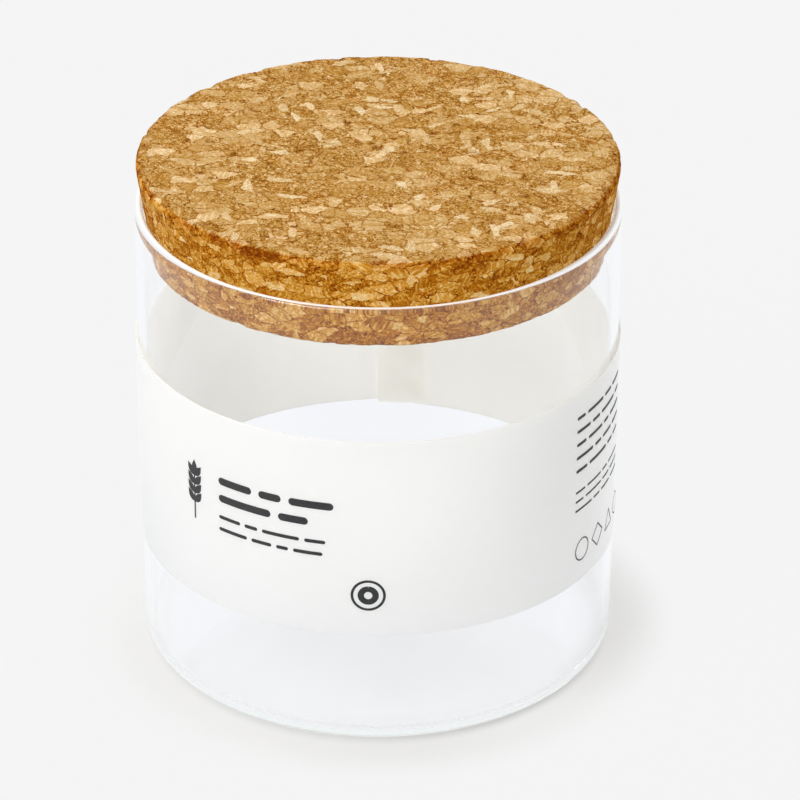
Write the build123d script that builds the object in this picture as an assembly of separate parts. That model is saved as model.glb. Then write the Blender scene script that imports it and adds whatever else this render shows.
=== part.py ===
from build123d import *
import os
from math import cos, degrees, radians, sin, sqrt, tan

# A straight-sided glass storage jar with a tapered cork lid and a paper sleeve wound round the glass.
# Millimetres, +Z up. The origin is the centre of the jar's foot, on the surface that it stands on.
# The sleeve's glued lap is at the back of the jar, on +Y.

# Glass jar
jar_outer_radius = 50.0
jar_height = 101.0
jar_wall = 1.5
jar_lip_thickness = 1.8
jar_lip_height = 3.4
jar_floor = 2.2
jar_foot_corner_radius = 4.5
jar_floor_corner_radius = 3.0
foot_ring_width = 4.0
foot_hollow_depth = 0.6

# Cork lid
lid_thickness = 19.6
lid_proud_height = 10.0
lid_taper_degrees = 8.4
lid_seat_gap = 0.1
lid_top_edge_radius = 1.3
lid_bottom_edge_radius = 0.8

# Paper sleeve
sleeve_height = 44.8
sleeve_bottom_height = 26.6
sleeve_paper = 0.35
sleeve_gap = 0.15
sleeve_lap_length = 12.0
sleeve_ramp_length = 4.0
sleeve_ramp_gap = 0.4
seam_azimuth_degrees = 90.0

# Glue between the sleeve's lapped ends
glue_thickness = 0.1
glue_edge_margin = 1.2

# Shared places that follow from the sizes above
jar_inner_radius = jar_outer_radius - jar_wall
rim_round_radius = jar_lip_thickness / 2
rim_round_height = jar_height - rim_round_radius
lip_inner_radius = jar_outer_radius - jar_lip_thickness
lip_lower_height = jar_height - jar_lip_height
sleeve_inner_radius = jar_outer_radius + sleeve_gap
sleeve_outer_radius = sleeve_inner_radius + sleeve_paper
lap_inner_radius = sleeve_outer_radius + glue_thickness
lap_outer_radius = lap_inner_radius + sleeve_paper


def turned(outline):
    """A solid of revolution about Z from edges drawn as (radius, height)."""
    return revolve(Plane.XZ * make_face(outline), Axis.Z)


def foot_hollow_arc(edge_radius):
    """The shallow hollow under the floor, from the axis out to the foot ring."""
    arc_radius = (edge_radius**2 + foot_hollow_depth**2) / (2 * foot_hollow_depth)
    start = (0, foot_hollow_depth)
    middle_radius = edge_radius / 2
    middle_height = foot_hollow_depth - arc_radius + sqrt(arc_radius**2 - middle_radius**2)
    return ThreePointArc(start, (middle_radius, middle_height), (edge_radius, 0))


def lip_inner_curve():
    """The inside of the lip, which leaves the rim upright and runs into the thinner wall below it."""
    reach = (rim_round_height - lip_lower_height) / 3
    return Bezier(
        (lip_inner_radius, rim_round_height),
        (lip_inner_radius, rim_round_height - reach),
        (jar_inner_radius, lip_lower_height + reach),
        (jar_inner_radius, lip_lower_height),
    )


def glass_jar():
    """One blown shell: flat floor, rounded foot, straight wall and a thicker, fire-rounded lip."""
    foot_outer_radius = jar_outer_radius - jar_foot_corner_radius
    foot_inner_radius = foot_outer_radius - foot_ring_width
    floor_corner_height = jar_floor + jar_floor_corner_radius
    floor_edge_radius = jar_inner_radius - jar_floor_corner_radius
    outline = [
        foot_hollow_arc(foot_inner_radius),
        Line((foot_inner_radius, 0), (foot_outer_radius, 0)),
        CenterArc((foot_outer_radius, jar_foot_corner_radius), jar_foot_corner_radius, -90, 90),
        Line((jar_outer_radius, jar_foot_corner_radius), (jar_outer_radius, rim_round_height)),
        CenterArc((jar_outer_radius - rim_round_radius, rim_round_height), rim_round_radius, 0, 180),
        lip_inner_curve(),
        Line((jar_inner_radius, lip_lower_height), (jar_inner_radius, floor_corner_height)),
        CenterArc((floor_edge_radius, floor_corner_height), jar_floor_corner_radius, 0, -90),
        Line((floor_edge_radius, jar_floor), (0, jar_floor)),
        Line((0, jar_floor), (0, foot_hollow_depth)),
    ]
    return turned(outline)


def lid_side_radius(height):
    """Radius of the lid's tapered side at a height, set so that it seats on the rim's rounded inner edge."""
    taper = radians(lid_taper_degrees)
    reach = rim_round_radius + lid_seat_gap
    seat_radius = jar_outer_radius - rim_round_radius - reach * cos(taper)
    seat_height = rim_round_height + reach * sin(taper)
    return seat_radius + (height - seat_height) * tan(taper)


def cork_lid():
    """A tapered disc of pressed cork granules, with a soft top edge and a smaller bottom one."""
    top = jar_height + lid_proud_height
    bottom = top - lid_thickness
    outline = Polyline(
        (0, bottom),
        (lid_side_radius(bottom), bottom),
        (lid_side_radius(top), top),
        (0, top),
        close=True,
    )
    blank = turned(outline)
    rings = blank.edges().filter_by(GeomType.CIRCLE).sort_by(Axis.Z)
    softened = fillet(rings[-1], lid_top_edge_radius)
    rings = softened.edges().filter_by(GeomType.CIRCLE).sort_by(Axis.Z)
    return fillet(rings[0], lid_bottom_edge_radius)


def turn_for(length, radius):
    """The angle in degrees that a length covers along a circle."""
    return degrees(length / radius)


def on_circle(radius, azimuth_degrees):
    """The point of a circle about the axis at an azimuth."""
    azimuth = radians(azimuth_degrees)
    return (radius * cos(azimuth), radius * sin(azimuth))


def paper_sleeve():
    """A strip of stiff paper wound once round the glass, whose outer end steps up over its inner end."""
    full_turn = 360
    inner_end = seam_azimuth_degrees
    lap_end = inner_end - turn_for(sleeve_lap_length, lap_inner_radius)
    lap_start = inner_end + turn_for(sleeve_ramp_gap, sleeve_outer_radius)
    ramp_start = lap_start + turn_for(sleeve_ramp_length, sleeve_outer_radius)
    wound = full_turn - (ramp_start - inner_end)
    lapped = lap_start - lap_end
    outline = [
        CenterArc((0, 0), sleeve_inner_radius, ramp_start, wound),
        Line(on_circle(sleeve_inner_radius, inner_end), on_circle(sleeve_outer_radius, inner_end)),
        CenterArc((0, 0), sleeve_outer_radius, inner_end, -wound),
        Line(on_circle(sleeve_outer_radius, ramp_start), on_circle(lap_outer_radius, lap_start)),
        CenterArc((0, 0), lap_outer_radius, lap_start, -lapped),
        Line(on_circle(lap_outer_radius, lap_end), on_circle(lap_inner_radius, lap_end)),
        CenterArc((0, 0), lap_inner_radius, lap_end, lapped),
        Line(on_circle(lap_inner_radius, lap_start), on_circle(sleeve_inner_radius, ramp_start)),
    ]
    strip = extrude(make_face(outline), sleeve_height)
    return Pos(0, 0, sleeve_bottom_height) * strip


def sleeve_glue():
    """A thin band of glue that fills the space between the sleeve's two lapped ends."""
    start = seam_azimuth_degrees - turn_for(glue_edge_margin, sleeve_outer_radius)
    lapped = turn_for(sleeve_lap_length - 2 * glue_edge_margin, lap_inner_radius)
    end = start - lapped
    outline = [
        CenterArc((0, 0), sleeve_outer_radius, start, -lapped),
        Line(on_circle(sleeve_outer_radius, end), on_circle(lap_inner_radius, end)),
        CenterArc((0, 0), lap_inner_radius, end, lapped),
        Line(on_circle(lap_inner_radius, start), on_circle(sleeve_outer_radius, start)),
    ]
    band = extrude(make_face(outline), sleeve_height - 2 * glue_edge_margin)
    return Pos(0, 0, sleeve_bottom_height + glue_edge_margin) * band


def write(node, shape):
    """Writes one sub-part under its node's name."""
    shape.label = node
    export_step(shape, os.path.join("parts", node + ".step"))


def main():
    os.makedirs("parts", exist_ok=True)
    write("glass_jar", glass_jar())
    write("cork_lid", cork_lid())
    write("paper_sleeve", paper_sleeve())
    write("sleeve_glue", sleeve_glue())


main()
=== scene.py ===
"""Looks of a glass jar with a tapered cork lid and a paper sleeve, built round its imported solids.

Lengths are metres, +Z is up, the jar stands on Z = 0 and the Z axis is its axis. Azimuths are degrees from
+X, so that the front of the jar is at -90. Each surface is a grid of points worked out from a formula as
whole arrays. The materials are procedural and read Object coordinates or the piece's own attributes.
"""

import itertools
import logging
from dataclasses import dataclass, field
from enum import Enum
from math import cos, pi, radians, sin, tan

import bpy
import numpy as np
from mathutils import Matrix, Vector

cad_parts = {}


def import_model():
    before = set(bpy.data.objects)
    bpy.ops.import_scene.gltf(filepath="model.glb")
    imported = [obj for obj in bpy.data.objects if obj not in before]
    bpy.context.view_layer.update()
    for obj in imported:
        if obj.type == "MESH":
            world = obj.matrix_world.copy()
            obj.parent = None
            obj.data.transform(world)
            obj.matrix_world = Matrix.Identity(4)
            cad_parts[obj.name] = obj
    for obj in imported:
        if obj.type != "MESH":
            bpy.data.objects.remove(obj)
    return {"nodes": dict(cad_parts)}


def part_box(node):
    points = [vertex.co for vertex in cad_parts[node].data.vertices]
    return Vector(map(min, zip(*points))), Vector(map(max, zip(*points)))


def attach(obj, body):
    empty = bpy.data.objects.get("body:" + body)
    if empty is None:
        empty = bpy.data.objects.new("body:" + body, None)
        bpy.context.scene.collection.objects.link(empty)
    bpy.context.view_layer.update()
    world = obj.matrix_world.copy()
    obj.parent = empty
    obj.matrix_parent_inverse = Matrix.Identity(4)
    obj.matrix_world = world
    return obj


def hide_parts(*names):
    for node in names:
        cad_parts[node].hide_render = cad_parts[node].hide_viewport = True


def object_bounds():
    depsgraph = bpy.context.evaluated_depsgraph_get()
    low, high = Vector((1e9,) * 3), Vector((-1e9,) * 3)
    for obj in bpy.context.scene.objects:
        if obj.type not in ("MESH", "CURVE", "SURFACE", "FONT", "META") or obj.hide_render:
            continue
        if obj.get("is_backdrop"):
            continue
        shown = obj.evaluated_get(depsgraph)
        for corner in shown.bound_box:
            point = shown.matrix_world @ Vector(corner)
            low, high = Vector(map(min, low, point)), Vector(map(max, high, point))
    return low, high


log = logging.getLogger("glass_jar")

MM = 0.001
PER_MM = 1 / MM
FRONT = -90.0
FULL_TURN = 360.0
WHITE = (1.0, 1.0, 1.0, 1.0)
BLACK = (0.0, 0.0, 0.0, 1.0)
MOTTLE_RANGE = (0.3, 0.7)

Value = float | tuple | bpy.types.NodeSocket


class Body(Enum):
    """The three bodies that move against each other."""

    JAR = "jar"
    LID = "lid"
    SLEEVE = "sleeve"


class Slot(Enum):
    """Names of the record's material slots. No piece here is given one."""

    GLASS = "clear_glass"
    CORK = "pressed_cork"
    PAPER = "white_paper"


class Ray(Enum):
    """The kinds of ray that a material or the studio can tell apart."""

    CAMERA = "Is Camera Ray"
    GLOSSY = "Is Glossy Ray"
    REFLECTION = "Is Reflection Ray"
    TRANSMISSION = "Is Transmission Ray"
    SHADOW = "Is Shadow Ray"
    DIFFUSE = "Is Diffuse Ray"


class Cells(Enum):
    """What a cell pattern measures."""

    NEAREST = "F1"
    BORDER = "DISTANCE_TO_EDGE"


# Arrays: outlines, noise and meshes


def smooth_step(values: np.ndarray, low: float, high: float) -> np.ndarray:
    """Rises from 0 at low to 1 at high: with t the clipped share of the way, t * t * (3 - 2 * t)."""
    share = np.clip((values - low) / (high - low), 0, 1)
    return share * share * (3 - 2 * share)


def straight(start: tuple[float, float], end: tuple[float, float], count: int) -> np.ndarray:
    """Points along a straight stretch of an outline, without its end: start + t * (end - start).

    Args:
        start: first (radius, height).
        end: last (radius, height), left to the next stretch.
        count: number of points.

    Returns:
        Array of (radius, height), one row for each point.
    """
    share = np.linspace(0, 1, count, endpoint=False)[:, None]
    return np.array(start) + share * (np.array(end) - np.array(start))


def rounded(centre: tuple[float, float], radius: float, start: float, end: float, count: int) -> np.ndarray:
    """Points along an arc of an outline, without its end: centre + radius * (cos a, sin a).

    Args:
        centre: (radius, height) of the arc's centre.
        radius: the arc's own radius.
        start: first angle in degrees.
        end: last angle in degrees, left to the next stretch.
        count: number of points.

    Returns:
        Array of (radius, height), one row for each point.
    """
    angles = np.radians(np.linspace(start, end, count, endpoint=False))
    return np.array(centre) + radius * np.stack([np.cos(angles), np.sin(angles)], axis=1)


def outward_normals(outline: np.ndarray) -> np.ndarray:
    """Unit normals of an outline walked from the axis below and round the outside.

    Each is the tangent turned clockwise, and the tangent runs from the point before to the point after.

    Args:
        outline: (radius, height) of each point.

    Returns:
        Array of the same shape.
    """
    tangents = np.gradient(outline, axis=0)
    tangents /= np.linalg.norm(tangents, axis=1, keepdims=True)
    return np.stack([tangents[:, 1], -tangents[:, 0]], axis=1)


def turned(radii: np.ndarray, heights: np.ndarray, segments: int) -> np.ndarray:
    """Turns an outline about the Z axis: (radius * cos a, radius * sin a, height) for each angle a.

    Args:
        radii: one radius for each ring, or one for each ring and segment.
        heights: as radii.
        segments: number of points in each ring.

    Returns:
        Array of points, rings by segments by 3.
    """
    angles = np.linspace(0, 2 * pi, segments, endpoint=False)[None, :]
    radii = np.broadcast_to(radii.reshape(len(radii), -1), (len(radii), segments))
    heights = np.broadcast_to(heights.reshape(len(heights), -1), (len(heights), segments))
    return np.stack([radii * np.cos(angles), radii * np.sin(angles), heights], axis=2)


def scatter(cells: np.ndarray, salt: int) -> np.ndarray:
    """Four random numbers from 0 to 1 for each whole-number cell, the same in every run.

    Multiplies the cell's three numbers by large odd factors, joins them with exclusive or, and stirs the
    result by shifts and products before each number is taken.

    Args:
        cells: whole numbers, with the three of a cell in the last axis.
        salt: a number that makes one pattern differ from another.

    Returns:
        Array of the same shape, but with four numbers in the last axis.
    """
    x, y, z = (cells[..., k].astype(np.int64).astype(np.uint32) for k in range(3))
    stirred = x * np.uint32(0x8DA6B343) ^ y * np.uint32(0xD8163841) ^ z * np.uint32(0xCB1AB31F)
    stirred = stirred ^ np.uint32(salt * 0x9E3779B1 % 2**32)
    numbers = []
    for _ in range(4):
        stirred = (stirred ^ (stirred >> np.uint32(15))) * np.uint32(0x2C1B3C6D)
        stirred = (stirred ^ (stirred >> np.uint32(12))) * np.uint32(0x297A2D39)
        numbers.append((stirred >> np.uint32(8)) / float(2**24))
    return np.stack(numbers, axis=-1)


def granules(places: np.ndarray, size: float, salt: int) -> tuple[np.ndarray, np.ndarray, np.ndarray]:
    """Splits space into random cells, one round each of a set of scattered points.

    Each unit cell of the grid holds one point at a random place, and a place belongs to the nearest point.

    Args:
        places: points in metres, with the coordinates in the last axis.
        size: mean distance between the scattered points, in metres.
        salt: a number that makes one pattern differ from another.

    Returns:
        Distance to the nearest and to the second nearest point as shares of size, and the cell's own
        random number.
    """
    scaled = places / size
    corner = np.floor(scaled)
    nearest = np.full(scaled.shape[:-1], np.inf)
    second = nearest.copy()
    pick = np.zeros_like(nearest)
    for offset in itertools.product((-1, 0, 1), repeat=3):
        cell = corner + np.array(offset)
        numbers = scatter(cell, salt)
        distance = np.linalg.norm(cell + numbers[..., :3] - scaled, axis=-1)
        closer = distance < nearest
        second = np.where(closer, nearest, np.minimum(second, distance))
        pick = np.where(closer, numbers[..., 3], pick)
        nearest = np.where(closer, distance, nearest)
    return nearest, second, pick


def drift(places: np.ndarray, size: float, salt: int) -> np.ndarray:
    """Smooth noise from 0 to 1: random numbers at a grid's corners, blended with smoothed shares of the way.

    Args:
        places: points in metres, with the coordinates in the last axis.
        size: the grid's step in metres.
        salt: a number that makes one pattern differ from another.

    Returns:
        One number for each place.
    """
    scaled = places / size
    corner = np.floor(scaled)
    share = scaled - corner
    share = share * share * (3 - 2 * share)
    total = np.zeros(scaled.shape[:-1])
    for offset in itertools.product((0, 1), repeat=3):
        step = np.array(offset)
        weight = np.prod(np.where(step == 1, share, 1 - share), axis=-1)
        total += weight * scatter(corner + step, salt)[..., 0]
    return total


def new_piece(
    name: str, points: np.ndarray, quads: np.ndarray, triangles: np.ndarray | None = None
) -> bpy.types.Object:
    """Makes a smooth-shaded object from arrays, and turns a closed shape to face outwards.

    A shape faces inwards where its signed volume is below 0, which is a sixth of the sum over its triangles
    of a . (b x c).

    Args:
        name: the object's name.
        points: vertices, one row each.
        quads: four vertex numbers for each face.
        triangles: three vertex numbers for each face, or None.

    Returns:
        The new object, linked to the scene.
    """
    triangles = np.zeros((0, 3), int) if triangles is None else triangles
    halves = np.concatenate([quads[:, [0, 1, 2]], quads[:, [0, 2, 3]], triangles])
    a, b, c = (points[halves[:, k]] for k in range(3))
    if np.einsum("ij,ij->", a, np.cross(b, c)) < 0:
        quads, triangles = quads[:, ::-1], triangles[:, ::-1]
    mesh = bpy.data.meshes.new(name)
    corners = np.concatenate([quads.ravel(), triangles.ravel()]).astype(np.int32)
    sides = np.concatenate([np.full(len(quads), 4), np.full(len(triangles), 3)])
    mesh.vertices.add(len(points))
    mesh.vertices.foreach_set("co", points.astype(np.float32).ravel())
    mesh.loops.add(len(corners))
    mesh.loops.foreach_set("vertex_index", corners)
    mesh.polygons.add(len(sides))
    mesh.polygons.foreach_set("loop_start", np.concatenate([[0], np.cumsum(sides)[:-1]]).astype(np.int32))
    mesh.polygons.foreach_set("use_smooth", np.ones(len(sides), bool))
    mesh.update(calc_edges=True)
    mesh.validate()
    piece = bpy.data.objects.new(name, mesh)
    bpy.context.scene.collection.objects.link(piece)
    return piece


def turned_piece(name: str, rings: np.ndarray, heights: tuple[float, float]) -> bpy.types.Object:
    """Closes rings of points round the Z axis into a body, with a fan to one point on the axis at each end.

    Args:
        name: the object's name.
        rings: points, rings by segments by 3.
        heights: height of the point on the axis before the first ring and after the last one.

    Returns:
        The new object.
    """
    count, segments, _ = rings.shape
    around = np.arange(segments)
    after = (around + 1) % segments
    start = (np.arange(count - 1) * segments)[:, None]
    quads = np.stack(
        [start + around, start + after, start + segments + after, start + segments + around], axis=2
    ).reshape(-1, 4)
    first, last = count * segments, count * segments + 1
    end = (count - 1) * segments
    fans = [
        np.stack([np.full(segments, first), after, around], axis=1),
        np.stack([np.full(segments, last), end + around, end + after], axis=1),
    ]
    poles = np.array([[0, 0, heights[0]], [0, 0, heights[1]]])
    points = np.concatenate([rings.reshape(-1, 3), poles])
    return new_piece(name, points, quads, np.concatenate(fans))


def thick_sheets(name: str, outer: np.ndarray, inner: np.ndarray, sharp: float) -> bpy.types.Object:
    """Closes pairs of point grids, one for each face of a thin sheet, with walls round their four edges.

    Args:
        name: the object's name.
        outer: points of the outer faces, sheets by length by width by 3.
        inner: points of the inner faces, as outer.
        sharp: angle in degrees past which an edge is drawn sharp.

    Returns:
        One object that holds all the sheets.
    """
    sheets, length, width, _ = outer.shape
    number = np.arange(2 * length * width).reshape(2, length, width)
    top, under = number
    walls = [
        (top[:-1, :-1], top[1:, :-1], top[1:, 1:], top[:-1, 1:]),
        (under[:-1, :-1], under[:-1, 1:], under[1:, 1:], under[1:, :-1]),
        (top[:-1, 0], under[:-1, 0], under[1:, 0], top[1:, 0]),
        (top[:-1, -1], top[1:, -1], under[1:, -1], under[:-1, -1]),
        (top[0, :-1], top[0, 1:], under[0, 1:], under[0, :-1]),
        (top[-1, :-1], under[-1, :-1], under[-1, 1:], top[-1, 1:]),
    ]
    quads = np.concatenate([np.stack(wall, axis=-1).reshape(-1, 4) for wall in walls])
    offsets = (np.arange(sheets) * number.size)[:, None, None]
    points = np.stack([outer, inner], axis=1).reshape(-1, 3)
    piece = new_piece(name, points, (quads + offsets).reshape(-1, 4))
    piece.data.set_sharp_from_angle(angle=radians(sharp))
    return piece


def store(piece: bpy.types.Object, name: str, values: np.ndarray) -> None:
    """Keeps one number for each vertex in the piece's mesh, for its material to read."""
    attribute = piece.data.attributes.new(name, "FLOAT", "POINT")
    attribute.data.foreach_set("value", values.astype(np.float32).ravel())


# Shader nodes


@dataclass(frozen=True)
class Wiring:
    """A node tree being wired. Each method places a node or a few, and returns what its name promises."""

    tree: bpy.types.NodeTree

    def place(self, kind: str, inputs: dict | None = None, **settings: object) -> bpy.types.Node:
        """Places one node.

        Args:
            kind: the node's type name.
            inputs: a plain value or another node's output for each input's name or number.
            settings: values of the node's own properties.

        Returns:
            The node.
        """
        node = self.tree.nodes.new(kind)
        for name, value in settings.items():
            setattr(node, name, value)
        for name, value in (inputs or {}).items():
            if isinstance(value, bpy.types.NodeSocket):
                self.tree.links.new(value, node.inputs[name])
            else:
                node.inputs[name].default_value = value
        return node

    def math(self, operation: str, *values: Value) -> bpy.types.NodeSocket:
        """A Math node."""
        return self.place("ShaderNodeMath", dict(enumerate(values)), operation=operation).outputs[0]

    def chain(self, operation: str, *values: Value) -> bpy.types.NodeSocket:
        """Joins several values by Math nodes, each of which takes the output so far and the next value.

        Args:
            operation: what each node does.
            values: plain values or outputs.

        Returns:
            The last node's output, or the only value.
        """
        running = values[0]
        for value in values[1:]:
            running = self.math(operation, running, value)
        return running

    def total(self, *values: Value) -> bpy.types.NodeSocket:
        """The sum of several values."""
        return self.chain("ADD", *values)

    def either(self, *shares: Value) -> bpy.types.NodeSocket:
        """The largest of several values."""
        return self.chain("MAXIMUM", *shares)

    def times(self, value: Value, factor: Value) -> bpy.types.NodeSocket:
        """The product of two values."""
        return self.math("MULTIPLY", value, factor)

    def weighted(self, value: Value, weight: float, centre: float = 0.5) -> bpy.types.NodeSocket:
        """(value - centre) * weight."""
        return self.times(self.math("SUBTRACT", value, centre), weight)

    def vector(self, operation: str, *values: Value) -> bpy.types.NodeSocket:
        """A Vector Math node that puts out a vector."""
        return self.place("ShaderNodeVectorMath", dict(enumerate(values)), operation=operation).outputs[0]

    def scaled(self, vector: Value, factor: Value) -> bpy.types.NodeSocket:
        """A vector times a number."""
        return self.place("ShaderNodeVectorMath", {0: vector, "Scale": factor}, operation="SCALE").outputs[0]

    def rotated(self, vector: Value, angles: Value) -> bpy.types.NodeSocket:
        """A vector turned by angles about X, Y and Z."""
        inputs = {"Vector": vector, "Rotation": angles}
        return self.place("ShaderNodeVectorRotate", inputs, rotation_type="EULER_XYZ").outputs[0]

    def fade(
        self, value: Value, low: float, high: float, start: Value = 0.0, end: Value = 1.0
    ) -> bpy.types.NodeSocket:
        """A smooth rise or fall from start, where value is low, to end, where it is high."""
        inputs = {"Value": value, "From Min": low, "From Max": high, "To Min": start, "To Max": end}
        return self.place("ShaderNodeMapRange", inputs, interpolation_type="SMOOTHSTEP").outputs[0]

    def by_mottle(self, mottle: Value, start: float, end: float) -> bpy.types.NodeSocket:
        """A value that goes from start to end over the range that a mottle mostly covers."""
        return self.fade(mottle, *MOTTLE_RANGE, start, end)

    def thin_line(self, value: Value, width: float) -> bpy.types.NodeSocket:
        """1 along the curves where a value is half, fading to 0 where it is off by the width."""
        off = self.math("ABSOLUTE", self.math("SUBTRACT", value, 0.5))
        return self.fade(off, 0.0, width, 1.0, 0.0)

    def noise(self, place: Value, scale: Value, detail: float = 2.0, rough: float = 0.5) -> bpy.types.Node:
        """A Noise Texture node."""
        inputs = {"Vector": place, "Scale": scale, "Detail": detail, "Roughness": rough}
        return self.place("ShaderNodeTexNoise", inputs)

    def cells(self, place: Value, measure: Cells) -> bpy.types.Node:
        """A Voronoi Texture node with cells about one unit wide."""
        return self.place("ShaderNodeTexVoronoi", {"Vector": place, "Scale": 1.0}, feature=measure.value)

    def mixed(self, share: Value, first: Value, second: Value) -> bpy.types.NodeSocket:
        """A Mix node for numbers."""
        return self.place("ShaderNodeMix", {0: share, 2: first, 3: second}, data_type="FLOAT").outputs[0]

    def blend(self, share: Value, first: Value, second: Value, kind: str = "MIX") -> bpy.types.NodeSocket:
        """A Mix node for colours."""
        inputs = {0: share, 6: first, 7: second}
        return self.place("ShaderNodeMix", inputs, data_type="RGBA", blend_type=kind).outputs[2]

    def ramp(self, value: Value, stops: tuple[tuple[float, tuple], ...]) -> bpy.types.NodeSocket:
        """A Color Ramp node.

        Args:
            value: where on the ramp to read, from 0 to 1.
            stops: (place, colour) for each stop.

        Returns:
            The colour at the value.
        """
        node = self.place("ShaderNodeValToRGB", {0: value})
        elements = node.color_ramp.elements
        for place, _ in stops[2:]:
            elements.new(place)
        for element, (place, colour) in zip(elements, stops):
            element.position = place
            element.color = (*colour, 1.0)
        return node.outputs[0]

    def ray(self, *kinds: Ray) -> bpy.types.NodeSocket:
        """1 where the ray is of any of these kinds, otherwise 0."""
        path = self.place("ShaderNodeLightPath")
        return self.either(*(path.outputs[kind.value] for kind in kinds))

    def mirrored_ray(self) -> bpy.types.NodeSocket:
        """1 where the ray comes from a mirror-like reflection, and not from one that went through glass."""
        return self.times(self.ray(Ray.GLOSSY), self.ray(Ray.REFLECTION))

    def turned_back(self, mirrored: int, met: int) -> bpy.types.NodeSocket:
        """1 once a ray has been mirrored, or has met surfaces of any kind, more often than this.

        Args:
            mirrored: most times that a ray may be mirrored.
            met: most surfaces that a ray may meet.

        Returns:
            1 or 0.
        """
        path = self.place("ShaderNodeLightPath").outputs
        return self.either(
            self.math("GREATER_THAN", path["Glossy Depth"], mirrored + 0.5),
            self.math("GREATER_THAN", path["Ray Depth"], met + 0.5),
        )

    def attribute(self, name: str) -> bpy.types.NodeSocket:
        """A number kept for each vertex of the piece."""
        return self.place("ShaderNodeAttribute", attribute_name=name).outputs["Fac"]

    def millimetres(self) -> bpy.types.NodeSocket:
        """Object coordinates in millimetres."""
        return self.scaled(self.place("ShaderNodeTexCoord").outputs["Object"], PER_MM)

    def bump(self, height: Value, depth: float, strength: float = 1.0) -> bpy.types.NodeSocket:
        """A normal bent by a height from 0 to 1 that stands for depth metres."""
        inputs = {"Height": height, "Distance": depth, "Strength": strength}
        return self.place("ShaderNodeBump", inputs).outputs[0]

    def effect(self, tree: bpy.types.NodeTree, inputs: dict) -> bpy.types.Node:
        """One copy of a shared effect with its own values."""
        return self.place("ShaderNodeGroup", inputs, node_tree=tree)

    def principled(self, inputs: dict) -> bpy.types.NodeSocket:
        """A Principled BSDF node."""
        return self.place("ShaderNodeBsdfPrincipled", inputs).outputs[0]

    def shader(self, kind: str, inputs: dict) -> bpy.types.NodeSocket:
        """A shader node of another kind, named by the last part of its type."""
        return self.place("ShaderNode" + kind, inputs).outputs[0]

    def shared_out(self, share: Value, first: Value, second: Value) -> bpy.types.NodeSocket:
        """A Mix Shader node: the share goes to the second shader, and the rest to the first."""
        return self.place("ShaderNodeMixShader", {0: share, 1: first, 2: second}).outputs[0]


def shared_effect(name: str, inputs: dict[str, str], outputs: dict[str, str]) -> tuple:
    """Starts a shader node group.

    Args:
        name: the group's name.
        inputs: kind of socket for each input's name.
        outputs: kind of socket for each output's name.

    Returns:
        The group's tree, its wiring, and its input and output nodes.
    """
    tree = bpy.data.node_groups.new(name, "ShaderNodeTree")
    for side, sockets in (("INPUT", inputs), ("OUTPUT", outputs)):
        for socket, kind in sockets.items():
            tree.interface.new_socket(name=socket, in_out=side, socket_type="NodeSocket" + kind)
    wiring = Wiring(tree)
    return tree, wiring, wiring.place("NodeGroupInput").outputs, wiring.place("NodeGroupOutput")


def fine_grain() -> bpy.types.NodeTree:
    """Shared effect: a soft mottle with finer grain in it, for fibres, dust and dried films.

    Returns:
        Group with Place in millimetres and Size in, and Mottle and Height from 0 to 1 out.
    """
    name = "fine_grain"
    if name in bpy.data.node_groups:
        return bpy.data.node_groups[name]
    finer = 6.0
    broad_share = 0.35
    fine_share = 0.65
    tree, wiring, given, result = shared_effect(
        name, {"Place": "Vector", "Size": "Float"}, {"Mottle": "Float", "Height": "Float"}
    )
    scale = wiring.math("DIVIDE", 1.0, given["Size"])
    broad = wiring.noise(given["Place"], scale, detail=3.0).outputs[0]
    fine = wiring.noise(given["Place"], wiring.times(scale, finer), detail=3.0, rough=0.65).outputs[0]
    height = wiring.total(wiring.times(broad, broad_share), wiring.times(fine, fine_share))
    tree.links.new(broad, result.inputs["Mottle"])
    tree.links.new(height, result.inputs["Height"])
    return tree


def chip_layer() -> bpy.types.NodeTree:
    """Shared effect: space packed with ragged chips of cork, each with its own tone and lines of its own lie.

    The place is bent by noise, turned, and divided by the chip's length, width and thickness, and then split
    into cells. Inside each cell the place is turned by the cell's own random angles and stretched, so that a
    noise read there becomes streaks along that chip.

    Returns:
        Group with Place, Shift, Turn, Chip, Ragged and Streak in, and Pick, Tint, Border and Streaks out.
    """
    name = "chip_layer"
    if name in bpy.data.node_groups:
        return bpy.data.node_groups[name]
    bends_across = 1.1
    streak_stretch = (0.16, 1.0, 1.0)
    inputs = dict.fromkeys(("Place", "Shift", "Turn", "Chip"), "Vector")
    inputs |= dict.fromkeys(("Ragged", "Streak"), "Float")
    outputs = dict.fromkeys(("Pick", "Tint", "Border", "Streaks"), "Float")
    tree, wiring, given, result = shared_effect(name, inputs, outputs)
    bend = wiring.noise(given["Place"], wiring.math("DIVIDE", bends_across, given["Ragged"]), detail=2.0)
    bend = wiring.vector("SUBTRACT", bend.outputs["Color"], (0.5, 0.5, 0.5))
    bend = wiring.scaled(bend, given["Ragged"])
    moved = wiring.vector("ADD", wiring.vector("ADD", given["Place"], bend), given["Shift"])
    chips = wiring.vector("DIVIDE", wiring.rotated(moved, given["Turn"]), given["Chip"])
    colour = wiring.cells(chips, Cells.NEAREST).outputs["Color"]
    border = wiring.cells(chips, Cells.BORDER).outputs["Distance"]
    parts = wiring.place("ShaderNodeSeparateColor", {0: colour}).outputs
    along = wiring.rotated(given["Place"], wiring.scaled(colour, 2 * pi))
    along = wiring.vector("MULTIPLY", along, streak_stretch)
    streaks = wiring.noise(along, given["Streak"], detail=2.0, rough=0.6).outputs[0]
    for output, value in zip(outputs, (parts[0], parts[1], border, streaks)):
        tree.links.new(value, result.inputs[output])
    return tree


# Finishes


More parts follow.
